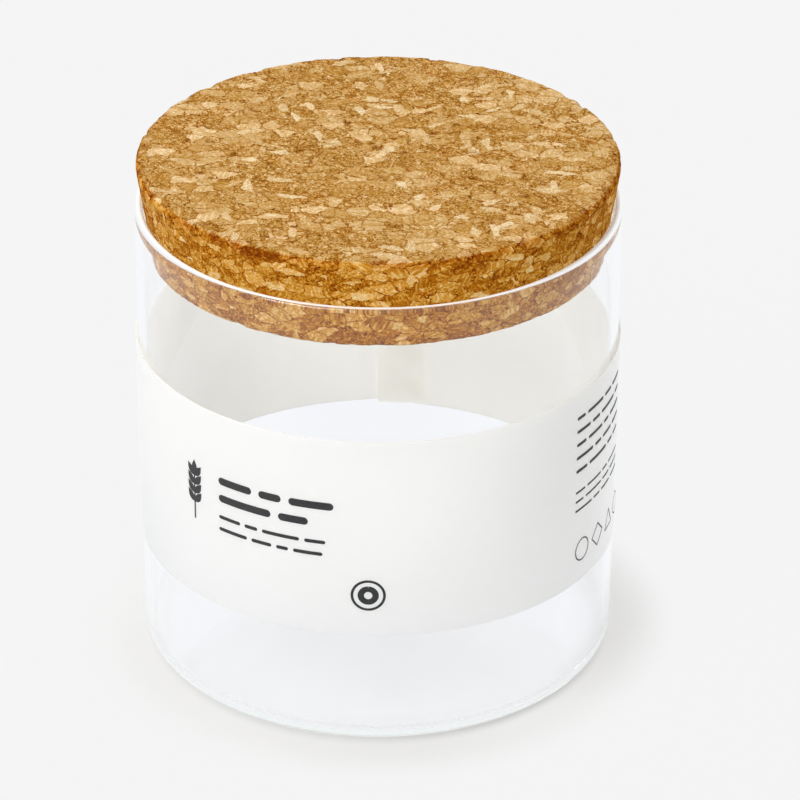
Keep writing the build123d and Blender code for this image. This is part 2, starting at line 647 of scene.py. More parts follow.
@dataclass(frozen=True)
class Finish:
    """What every finish has: a name, and a way to make its material once."""

    name: str

    def wire(self, wiring: Wiring) -> bpy.types.NodeSocket:
        """Places the finish's nodes and returns the shader for the surface."""
        raise NotImplementedError

    def inside(self, wiring: Wiring) -> bpy.types.NodeSocket | None:
        """Places the nodes for the body of the stuff, where it has any, and returns their shader."""
        return None

    def material(self) -> bpy.types.Material:
        """Makes the finish's material on the first call.

        Returns:
            The material.
        """
        if self.name in bpy.data.materials:
            return bpy.data.materials[self.name]
        material = bpy.data.materials.new(self.name)
        material.use_nodes = True
        material.node_tree.nodes.clear()
        wiring = Wiring(material.node_tree)
        shaders = {"Surface": self.wire(wiring)}
        inside = self.inside(wiring)
        if inside is not None:
            shaders["Volume"] = inside
        wiring.place("ShaderNodeOutputMaterial", shaders)
        return material


@dataclass(frozen=True)
class GlassFinish(Finish):
    """Clear soda-lime glass with faint draw waves, and a trace of green that shows only along its edges.

    Light that has been thrown back and forth inside the wall many times leaves it straight, as it does at the
    fine scratches and dust of a real rim, so that the rim and the foot shine instead of going black. The top
    of
    the rim is partly a white matt surface: a painted highlight for the rim's bright line.
    """

    name: str = "soda_lime_glass"
    refraction: float = 1.5
    wave_size: float = 9.0
    wave_stretch: tuple = (1.0, 1.0, 0.35)
    wave_depth: float = 0.012 * MM
    lamp_tint: tuple = (0.985, 0.99, 0.988, 1.0)
    body_tint: tuple = (0.88, 0.91, 0.85, 1.0)
    body_density: float = 5.0
    rim_painted_highlight: float = 0.9
    most_mirrored: int = 2
    most_met: int = 8

    def wire(self, wiring: Wiring) -> bpy.types.NodeSocket:
        """Glass for what is seen, with a painted highlight on the rim, and plain passing for lamps and for
        light that other surfaces send on.

        Args:
            wiring: the material's nodes.

        Returns:
            The shader for the surface.
        """
        place = wiring.vector("MULTIPLY", wiring.millimetres(), self.wave_stretch)
        waves = wiring.noise(place, 1 / self.wave_size, detail=1.0).outputs[0]
        glass = wiring.principled(
            {
                "Base Color": WHITE,
                "Roughness": 0.0,
                "IOR": self.refraction,
                "Transmission Weight": 1.0,
                "Normal": wiring.bump(waves, self.wave_depth),
            }
        )
        # Painted highlight: white matt on the top of the rim stands in for the rim's bright line
        painted_highlight = wiring.shader("BsdfDiffuse", {"Color": WHITE})
        with_painted_highlight = wiring.shared_out(wiring.times(wiring.attribute("rim_top"), self.rim_painted_highlight), glass, painted_highlight)
        passing = wiring.shader("BsdfTransparent", {"Color": self.lamp_tint})
        passed = wiring.either(
            wiring.ray(Ray.SHADOW, Ray.DIFFUSE), wiring.turned_back(self.most_mirrored, self.most_met)
        )
        return wiring.shared_out(passed, with_painted_highlight, passing)

    def inside(self, wiring: Wiring) -> bpy.types.NodeSocket | None:
        """The glass's own green, which grows with the way through it."""
        return wiring.shader("VolumeAbsorption", {"Color": self.body_tint, "Density": self.body_density})


@dataclass(frozen=True)
class Chips:
    """One size of cork chip, and how its layer lies.

    Length, width and thickness are millimetres. The turn is an angle in degrees about the vertical, and the
    layer leans a little with it. The shift is a distance in millimetres that keeps the layers apart, and the
    streaks are counted to the millimetre.
    """

    size: tuple
    turn: float
    shift: float
    streaks: float

    def place(self, wiring: Wiring, place: Value, ragged_share: float) -> bpy.types.Node:
        """Places one layer of these chips.

        Args:
            wiring: the material's nodes.
            place: place in millimetres.
            ragged_share: how far their edges wander, as a share of their width.

        Returns:
            The group node.
        """
        turn = radians(self.turn)
        lean = 0.15 * turn
        inputs = {
            "Place": place,
            "Shift": (self.shift, 0.7 * self.shift, 0.4 * self.shift),
            "Turn": (lean, 0.0, turn),
            "Chip": self.size,
            "Ragged": self.size[1] * ragged_share,
            "Streak": self.streaks,
        }
        return wiring.effect(chip_layer(), inputs)


@dataclass(frozen=True)
class BedTones:
    """The tone of the bed between the whole chips, and how far each pattern lightens or darkens it."""

    top: float = 0.567
    side: float = 0.515
    flake: float = 0.15
    flake_streaks: float = 1.15
    crumb: float = 0.24
    crumb_streaks: float = 1.0
    dust: float = 0.22
    crumb_seam: float = -0.14
    flake_seam: float = -0.22
    fleck: float = -0.03
    vein: float = -0.12


@dataclass(frozen=True)
class ChipTones:
    """The tone of a whole chip, and how far each pattern changes it, which is more on the cut side."""

    top: float = 0.66
    side: float = 0.64
    tint: float = 0.40
    streaks: float = 1.0
    streaks_side: float = 1.35
    grain: float = 0.3
    dust: float = 0.25
    crumb: float = 0.10
    crumb_seam: float = -0.08
    fleck: float = -0.08
    line: float = -0.16
    line_side: float = -0.24
    line_width: float = 0.03


@dataclass(frozen=True)
class SliverTones:
    """The tone of a pale sliver, and how far each pattern changes it."""

    plain: float = 0.73
    streaks: float = 1.1
    tint: float = 0.40
    dust: float = 1.0


@dataclass(frozen=True)
class CorkRelief:
    """The depth of the cork's fine relief in metres, and each pattern's share of it."""

    depth: float = 0.16 * MM
    strength: float = 0.8
    grain: float = 0.8
    crumb: float = 0.35
    dust: float = 0.35
    flake_streaks: float = 1.0
    crumb_seam: float = -0.3
    chip_seam: float = -0.6
    speck: float = -0.9


@dataclass(frozen=True)
class CorkPatterns:
    """The patterns that the cork's tone, colour and relief share."""

    place: Value
    side: Value
    torn: Value
    mottle: Value
    grain: Value
    dust: Value
    fleck: Value
    vein: Value
    speck: Value
    chip: bpy.types.Node
    flake: bpy.types.Node
    crumb: bpy.types.Node
    crumb_seam: Value
    flake_seam: Value
    chip_seam: Value


@dataclass(frozen=True)
class CorkFinish(Finish):
    """Pressed cork: whole chips and pale slivers in a bed of flakes and crumbs, with seams, veins and specks.

    A chip lies flat, because the board was pressed from above, so its thickness is less than its length and
    width. The side is cut and not sanded, and shows a deeper, redder brown, and so does the cork that is torn
    under the top edge. The top's paler, less saturated tones are partly painted sheen, standing in for the
    white studio that the top mirrors. Hollows are darkened to a raw brown by painted shade.
    """

    name: str = "cork_board"
    chips: Chips = Chips((4.4, 3.3, 2.4), turn=0.0, shift=3.1, streaks=1.9)
    flakes: Chips = Chips((2.3, 1.5, 1.2), turn=75.0, shift=7.3, streaks=2.2)
    crumbs: Chips = Chips((1.1, 0.8, 0.65), turn=40.0, shift=11.7, streaks=2.7)
    sliver_size: tuple = (4.4, 1.7, 1.4)
    sliver_turns: tuple = (18.0, 82.0, 136.0)
    sliver_shift: float = 23.0
    sliver_streaks: float = 3.0
    sliver_share: float = 0.042
    sliver_edge: tuple = (0.02, 0.06)
    bed_tones: BedTones = BedTones()
    chip_tones: ChipTones = ChipTones()
    sliver_tones: SliverTones = SliverTones()
    relief: CorkRelief = CorkRelief()
    ragged_share: float = 0.42
    whole_share_top: float = 0.48
    whole_share_side: float = 0.76
    seam_width: float = 0.055
    flake_seam_width: float = 0.088
    crumb_seam_width: float = 0.121
    seam_in_chip: float = 0.3
    seam_tone_top: float = -0.17
    seam_tone_side: float = -0.18
    chip_seam_mottle: tuple = (0.35, 0.55)
    crumb_seam_mottle: tuple = (0.62, 0.40)
    grain_size: float = 2.2
    pressed: float = 1.5
    dust_scale: float = 2.5
    crack_scale: float = 1.15
    crack_shift: tuple = (40.0, 0.0, 0.0)
    fleck_range: tuple = (0.58, 0.68)
    vein_width: float = 0.045
    speck_spacing: tuple = (2.3, 2.3, 1.38)
    speck_share: float = 0.09
    speck_edge: tuple = (0.10, 0.22)
    speck_tone: float = -0.45
    torn_tone: float = -0.20
    torn_share: float = 0.35
    reddish_tint: tuple = (0.55, 0.95)
    reddish_share: float = 0.5
    hollow_shade_dust: tuple = (0.38, 0.60)
    hollow_shade_least: float = 0.30
    roughness: tuple = (0.72, 0.9)
    # Top tones: paler and less saturated than the side's, partly painted sheen from the white studio
    tones: tuple = (
        (0.00, (0.150, 0.044, 0.0050)),
        (0.18, (0.257, 0.087, 0.0066)),
        (0.36, (0.413, 0.188, 0.0209)),
        (0.52, (0.540, 0.299, 0.0780)),
        (0.68, (0.650, 0.416, 0.1680)),
        (0.84, (0.738, 0.543, 0.3000)),
        (1.00, (0.883, 0.722, 0.4560)),
    )
    side_tones: tuple = (
        (0.00, (0.160, 0.032, 0.0007)),
        (0.18, (0.241, 0.057, 0.0009)),
        (0.36, (0.389, 0.125, 0.0028)),
        (0.52, (0.518, 0.217, 0.0148)),
        (0.68, (0.629, 0.319, 0.0509)),
        (0.84, (0.722, 0.435, 0.1295)),
        (1.00, (0.814, 0.601, 0.3053)),
    )
    reddish: tuple = (1.02, 0.90, 0.74, 1.0)
    raw_cork_and_hollow_shade_tint: tuple = (0.52, 0.25, 0.04, 1.0)

    def patterns(self, wiring: Wiring) -> CorkPatterns:
        """Places the patterns that the tone, the colour and the relief share.

        Args:
            wiring: the material's nodes.

        Returns:
            The patterns.
        """
        place = wiring.millimetres()
        grain = wiring.effect(fine_grain(), {"Place": place, "Size": self.grain_size}).outputs
        flat = wiring.vector("MULTIPLY", place, (1.0, 1.0, self.pressed))
        cracks = wiring.vector("ADD", flat, self.crack_shift)
        cracks = wiring.noise(cracks, self.crack_scale, detail=3.0, rough=0.75).outputs[0]
        chip, flake, crumb = (
            layer.place(wiring, place, self.ragged_share) for layer in (self.chips, self.flakes, self.crumbs)
        )
        crumb_seam = wiring.fade(crumb.outputs["Border"], 0.0, self.crumb_seam_width, 1.0, 0.0)
        chip_seam = wiring.fade(chip.outputs["Border"], 0.0, self.seam_width, 1.0, 0.0)
        return CorkPatterns(
            place=place,
            side=wiring.attribute("cut_side"),
            torn=wiring.attribute("torn"),
            mottle=grain["Mottle"],
            grain=grain["Height"],
            dust=wiring.noise(flat, self.dust_scale, detail=3.0, rough=0.85).outputs[0],
            fleck=wiring.fade(cracks, *self.fleck_range),
            vein=wiring.thin_line(cracks, self.vein_width),
            speck=self.speck(wiring, place),
            chip=chip,
            flake=flake,
            crumb=crumb,
            crumb_seam=wiring.times(crumb_seam, wiring.fade(grain["Mottle"], *self.crumb_seam_mottle)),
            flake_seam=wiring.fade(flake.outputs["Border"], 0.0, self.flake_seam_width, 1.0, 0.0),
            chip_seam=wiring.times(chip_seam, wiring.fade(grain["Mottle"], *self.chip_seam_mottle)),
        )

    def speck(self, wiring: Wiring, place: Value) -> bpy.types.NodeSocket:
        """Small dark pores.

        Args:
            wiring: the material's nodes.
            place: place in millimetres.

        Returns:
            1 at the middle of a few cells, fading to 0 a little way off.
        """
        cell = wiring.cells(wiring.vector("DIVIDE", place, self.speck_spacing), Cells.NEAREST).outputs
        chosen = wiring.place("ShaderNodeSeparateColor", {0: cell["Color"]}).outputs[0]
        chosen = wiring.math("GREATER_THAN", chosen, 1 - self.speck_share)
        return wiring.times(chosen, wiring.fade(cell["Distance"], *self.speck_edge, 1.0, 0.0))

    def bed(self, wiring: Wiring, seen: CorkPatterns) -> bpy.types.NodeSocket:
        """The tone of the bed of flakes and crumbs.

        Args:
            wiring: the material's nodes.
            seen: the shared patterns.

        Returns:
            The tone, mostly from 0 to 1.
        """
        tones = self.bed_tones
        return wiring.total(
            wiring.mixed(seen.side, tones.top, tones.side),
            wiring.weighted(seen.flake.outputs["Pick"], tones.flake),
            wiring.weighted(seen.flake.outputs["Streaks"], tones.flake_streaks),
            wiring.weighted(seen.crumb.outputs["Pick"], tones.crumb),
            wiring.weighted(seen.crumb.outputs["Streaks"], tones.crumb_streaks),
            wiring.weighted(seen.dust, tones.dust),
            wiring.times(seen.crumb_seam, tones.crumb_seam),
            wiring.times(seen.flake_seam, tones.flake_seam),
            wiring.times(seen.fleck, tones.fleck),
            wiring.times(seen.vein, tones.vein),
        )

    def whole(self, wiring: Wiring, seen: CorkPatterns) -> bpy.types.NodeSocket:
        """The tone of the whole chips.

        Args:
            wiring: the material's nodes.
            seen: the shared patterns.

        Returns:
            The tone, mostly from 0 to 1.
        """
        tones = self.chip_tones
        streaks = seen.chip.outputs["Streaks"]
        streaks_weight = wiring.mixed(seen.side, tones.streaks, tones.streaks_side)
        lines = wiring.thin_line(streaks, tones.line_width)
        return wiring.total(
            wiring.mixed(seen.side, tones.top, tones.side),
            wiring.weighted(seen.chip.outputs["Tint"], tones.tint),
            wiring.times(wiring.weighted(streaks, 1.0), streaks_weight),
            wiring.weighted(seen.grain, tones.grain),
            wiring.weighted(seen.dust, tones.dust),
            wiring.weighted(seen.crumb.outputs["Pick"], tones.crumb),
            wiring.times(seen.crumb_seam, tones.crumb_seam),
            wiring.times(seen.fleck, tones.fleck),
            wiring.times(lines, wiring.mixed(seen.side, tones.line, tones.line_side)),
        )

    def with_slivers(self, wiring: Wiring, seen: CorkPatterns, tone: Value) -> bpy.types.NodeSocket:
        """Lays a few pale slivers over the tone, in one layer for each way that they lie.

        Args:
            wiring: the material's nodes.
            seen: the shared patterns.
            tone: the tone without them.

        Returns:
            The tone with them.
        """
        tones = self.sliver_tones
        for turn in self.sliver_turns:
            slivers = Chips(self.sliver_size, turn, self.sliver_shift + turn, self.sliver_streaks)
            sliver = slivers.place(wiring, seen.place, self.ragged_share).outputs
            chosen = wiring.math("GREATER_THAN", sliver["Pick"], 1 - self.sliver_share)
            pale = wiring.total(
                tones.plain,
                wiring.weighted(sliver["Streaks"], tones.streaks),
                wiring.weighted(sliver["Tint"], tones.tint),
                wiring.weighted(seen.dust, tones.dust),
            )
            share = wiring.times(chosen, wiring.fade(sliver["Border"], *self.sliver_edge))
            tone = wiring.mixed(share, tone, pale)
        return tone

    def colour(self, wiring: Wiring, seen: CorkPatterns, tone: Value) -> bpy.types.NodeSocket:
        """The colour of a tone: reddish on some chips, raw where the cork is torn, and darkened in hollows by
        painted shade.

        Args:
            wiring: the material's nodes.
            seen: the shared patterns.
            tone: the tone of each place.

        Returns:
            The colour of each place.
        """
        # The top and side ramps differ partly by the cut side's own brown and partly by painted sheen on the
        # top
        colour = wiring.blend(seen.side, wiring.ramp(tone, self.tones), wiring.ramp(tone, self.side_tones))
        reddish = wiring.fade(seen.chip.outputs["Tint"], *self.reddish_tint, 0.0, self.reddish_share)
        colour = wiring.blend(reddish, colour, self.reddish, "MULTIPLY")
        # Painted shade: a darker, redder brown in the lid's hollows, growing with their depth
        rough = wiring.fade(seen.dust, *self.hollow_shade_dust, self.hollow_shade_least, 1.0)
        hollow = wiring.times(wiring.attribute("hollow"), rough)
        raw_and_shaded = wiring.either(hollow, wiring.times(seen.torn, self.torn_share))
        return wiring.blend(raw_and_shaded, colour, self.raw_cork_and_hollow_shade_tint, "MULTIPLY")

    def height(self, wiring: Wiring, seen: CorkPatterns) -> bpy.types.NodeSocket:
        """The fine relief.

        Args:
            wiring: the material's nodes.
            seen: the shared patterns.

        Returns:
            The height of each place, about a half.
        """
        relief = self.relief
        return wiring.total(
            0.5,
            wiring.weighted(seen.grain, relief.grain),
            wiring.weighted(seen.crumb.outputs["Pick"], relief.crumb),
            wiring.weighted(seen.dust, relief.dust),
            wiring.weighted(seen.flake.outputs["Streaks"], relief.flake_streaks),
            wiring.times(seen.crumb_seam, relief.crumb_seam),
            wiring.times(seen.chip_seam, relief.chip_seam),
            wiring.times(seen.speck, relief.speck),
        )

    def wire(self, wiring: Wiring) -> bpy.types.NodeSocket:
        """Lays chips and slivers into the bed, and turns the tone of each place into a colour.

        Args:
            wiring: the material's nodes.

        Returns:
            The shader for the surface.
        """
        seen = self.patterns(wiring)
        least = wiring.mixed(seen.side, 1 - self.whole_share_top, 1 - self.whole_share_side)
        picked = wiring.math("GREATER_THAN", seen.chip.outputs["Pick"], least)
        overlap = self.seam_in_chip * self.seam_width
        inside = wiring.fade(seen.chip.outputs["Border"], overlap, self.seam_width)
        tone = wiring.mixed(wiring.times(picked, inside), self.bed(wiring, seen), self.whole(wiring, seen))
        seam_tone = wiring.mixed(seen.side, self.seam_tone_top, self.seam_tone_side)
        tone = wiring.total(tone, wiring.times(seen.chip_seam, seam_tone))
        tone = wiring.total(
            self.with_slivers(wiring, seen, tone),
            wiring.times(seen.speck, self.speck_tone),
            wiring.times(seen.torn, self.torn_tone),
        )
        return wiring.principled(
            {
                "Base Color": self.colour(wiring, seen, tone),
                "Roughness": wiring.by_mottle(seen.mottle, *self.roughness),
                "Specular IOR Level": 0.05,
                "Normal": wiring.bump(self.height(wiring, seen), self.relief.depth, self.relief.strength),
            }
        )


@dataclass(frozen=True)
class PaperFinish(Finish):
    """White stock that lets much light through, with a faint mottle and fibres, tinted cream inside as
    painted warm bounce light from the cork.

    Where its ends lap, each layer lets more through, so that the lap is no darker than the glow around it.
    The outside has a faint sheen, which grows where it is seen at a low angle.
    """

    name: str = "smooth_white_paper"
    light: tuple = (0.958, 0.966, 0.985, 1.0)
    dark: tuple = (0.946, 0.954, 0.973, 1.0)
    painted_warm_bounce: tuple = (0.968, 0.938, 0.880, 1.0)
    shining: tuple = (0.960, 0.980, 1.000, 1.0)
    shine_through: float = 0.56
    lap_shine_through: float = 0.82
    mottle_size: float = 2.5
    mottle_range: tuple = (0.35, 0.65)
    roughness: tuple = (0.42, 0.52)
    fibre_size: float = 0.7
    fibre_depth: float = 0.006 * MM
    gloss_index: float = 1.45
    gloss_roughness: float = 0.3

    def wire(self, wiring: Wiring) -> bpy.types.NodeSocket:
        """A matt face, a share of the light passed on to the other side, and the outside's sheen.

        Args:
            wiring: the material's nodes.

        Returns:
            The shader for the surface.
        """
        grain = wiring.effect(fine_grain(), {"Place": wiring.millimetres(), "Size": self.mottle_size})
        fibres = wiring.effect(fine_grain(), {"Place": wiring.millimetres(), "Size": self.fibre_size})
        inner = wiring.attribute("inner_face")
        colour = wiring.blend(wiring.fade(grain.outputs["Mottle"], *self.mottle_range), self.dark, self.light)
        face = wiring.principled(
            {
                # Inner face: a cream tint, painted warm bounce light from the cork
                "Base Color": wiring.blend(inner, colour, self.painted_warm_bounce, "MULTIPLY"),
                "Roughness": wiring.by_mottle(grain.outputs["Mottle"], *self.roughness),
                "Specular IOR Level": 0.9,
                "Normal": wiring.bump(fibres.outputs["Height"], self.fibre_depth, 0.5),
            }
        )
        # The light passed on by the inner face takes the same painted warm bounce
        through = wiring.shader("BsdfTranslucent", {"Color": wiring.blend(inner, self.shining, self.painted_warm_bounce)})
        share = wiring.mixed(wiring.attribute("lapped"), self.shine_through, self.lap_shine_through)
        mixed = wiring.shared_out(share, face, through)
        gloss = wiring.shader("BsdfGlossy", {"Color": WHITE, "Roughness": self.gloss_roughness})
        skim = wiring.place("ShaderNodeFresnel", {"IOR": self.gloss_index}).outputs[0]
        behind = wiring.place("ShaderNodeNewGeometry").outputs["Backfacing"]
        skim = wiring.times(skim, wiring.math("SUBTRACT", 1.0, wiring.either(inner, behind)))
        return wiring.shared_out(skim, mixed, gloss)


@dataclass(frozen=True)
class InkFinish(Finish):
    """Matt black ink that shows a little of the paper's fibres."""

    name: str = "black_ink"
    full: tuple = (0.012, 0.012, 0.013, 1.0)
    thin: tuple = (0.045, 0.045, 0.046, 1.0)
    grain_size: float = 1.2
    thin_range: tuple = (0.4, 0.7)
    roughness: tuple = (0.5, 0.65)

    def wire(self, wiring: Wiring) -> bpy.types.NodeSocket:
        """Black ink.

        Args:
            wiring: the material's nodes.

        Returns:
            The shader for the surface.
        """
        grain = wiring.effect(fine_grain(), {"Place": wiring.millimetres(), "Size": self.grain_size}).outputs
        colour = wiring.blend(wiring.fade(grain["Height"], *self.thin_range), self.full, self.thin)
        roughness = wiring.by_mottle(grain["Mottle"], *self.roughness)
        return wiring.principled({"Base Color": colour, "Roughness": roughness})


@dataclass(frozen=True)
class GlueFinish(Finish):
    """A dried film of paper glue, nearly clear, with a little yellow cloud in it."""

    name: str = "cloudy_paper_glue"
    clear: tuple = (0.80, 0.76, 0.64, 1.0)
    cloudy: tuple = (0.70, 0.66, 0.55, 1.0)
    cloud_size: float = 3.0
    roughness: tuple = (0.3, 0.5)
    passing: tuple = (0.95, 0.85)
    ripple: float = 0.03 * MM

    def wire(self, wiring: Wiring) -> bpy.types.NodeSocket:
        """Dried glue.

        Args:
            wiring: the material's nodes.

        Returns:
            The shader for the surface.
        """
        grain = wiring.effect(fine_grain(), {"Place": wiring.millimetres(), "Size": self.cloud_size}).outputs
        film = wiring.principled(
            {
                "Base Color": wiring.blend(grain["Mottle"], self.clear, self.cloudy),
                "Roughness": wiring.by_mottle(grain["Mottle"], *self.roughness),
                "Normal": wiring.bump(grain["Height"], self.ripple, 0.5),
            }
        )
        passing = wiring.shader("BsdfTransparent", {"Color": WHITE})
        return wiring.shared_out(wiring.by_mottle(grain["Mottle"], *self.passing), film, passing)


# Sub-assemblies


@dataclass
class JarGlass:
    """The blown glass shell, turned from one outline, with a slightly uneven inside.

    The waves in the inside die out between two shares of the height. The top of the rim, for its painted
    highlight, is where the outline's normal points upwards: between the two values of rim_upright it fades
    in.
    """

    radius: float
    height: float
    wall: float = 1.5 * MM
    lip: float = 1.8 * MM
    lip_height: float = 3.4 * MM
    floor: float = 2.2 * MM
    foot_corner: float = 4.5 * MM
    floor_corner: float = 3.0 * MM
    ring_width: float = 4.0 * MM
    hollow_depth: float = 0.6 * MM
    wall_wave: float = 0.05 * MM
    wall_wave_size: float = 16 * MM
    floor_wave: float = 0.12 * MM
    floor_wave_size: float = 13 * MM
    waves_end: tuple = (0.80, 0.92)
    rim_upright: tuple = (0.80, 0.97)
    segments: int = 384
    finish: Finish = field(default_factory=GlassFinish)

    @classmethod
    def from_frame(cls) -> "JarGlass":
        """Reads the outer radius and the height from the solid."""
        low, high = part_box("glass_jar")
        return cls(radius=(high.x - low.x) / 2, height=high.z)

    def outline(self) -> np.ndarray:
        """The shell's outline, walked from the axis under the foot, up the outside and back down the inside.

        Returns:
            (radius, height) of each point.
        """
        foot_edge = self.radius - self.foot_corner
        ring_edge = foot_edge - self.ring_width
        rim = self.lip / 2
        rim_height = self.height - rim
        lip_low = self.height - self.lip_height
        inner = self.radius - self.wall
        lip_heights = np.linspace(rim_height, lip_low, 14, endpoint=False)
        thicker = (self.lip - self.wall) * smooth_step(lip_heights, lip_low, rim_height)
        floor_edge = inner - self.floor_corner
        corner_height = self.floor + self.floor_corner
        under = np.linspace(0, ring_edge, 14, endpoint=False)[1:]
        hollow = np.stack([under, self.hollow_depth * (1 - (under / ring_edge) ** 2)], axis=1)
        return np.concatenate(
            [
                hollow,
                straight((ring_edge, 0), (foot_edge, 0), count=3),
                rounded((foot_edge, self.foot_corner), self.foot_corner, -90, 0, count=16),
                straight((self.radius, self.foot_corner), (self.radius, rim_height), count=20),
                rounded((self.radius - rim, rim_height), rim, 0, 180, count=20),
                np.stack([inner - thicker, lip_heights], axis=1),
                straight((inner, lip_low), (inner, corner_height), count=22),
                rounded((floor_edge, corner_height), self.floor_corner, 0, -90, count=12),
                straight((floor_edge, self.floor), (0, self.floor), count=16),
            ]
        )

    def build(self) -> bpy.types.Object:
        """Turns the outline and lets the inner wall and floor wander a little, but not near the rim.

        The inside's radius grows by the wall's wave times smooth noise, and the floor's height likewise. The
        attribute rim_top is 1 on the top of the rim, where the glass's finish paints its highlight.

        Returns:
            The glass.
        """
        outline = self.outline()
        rings = turned(outline[:, 0], outline[:, 1], self.segments)
        inside = np.zeros(len(outline))
        inside[np.argmax(outline[:, 1]):] = 1
        below_rim = 1 - smooth_step(outline[:, 1], *(self.height * np.array(self.waves_end)))
        share = (inside * below_rim)[:, None]
        outwards = self.wall_wave * (drift(rings * (1, 1, 0.5), self.wall_wave_size, salt=5) - 0.5) * share
        upwards = self.floor_wave * (drift(rings, self.floor_wave_size, salt=6) - 0.5) * share
        inner = self.radius - self.wall
        flat = smooth_step(outline[:, 0], inner - self.floor_corner, inner)[:, None]
        radii = np.linalg.norm(rings[..., :2], axis=2, keepdims=True)
        rings[..., :2] *= 1 + (outwards * flat)[..., None] / np.maximum(radii, MM)
        rings[..., 2] += upwards * (1 - flat)
        piece = turned_piece("jar_glass", rings, (self.hollow_depth, self.floor))
        upright = smooth_step(outward_normals(outline)[:, 1], *self.rim_upright)
        upright *= outline[:, 1] > self.height - self.lip / 2
        store(piece, "rim_top", np.concatenate([np.repeat(upright, self.segments), np.zeros(2)]))
        piece.data.materials.append(self.finish.material())
        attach(piece, Body.JAR.value)
        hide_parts("glass_jar")
        return piece


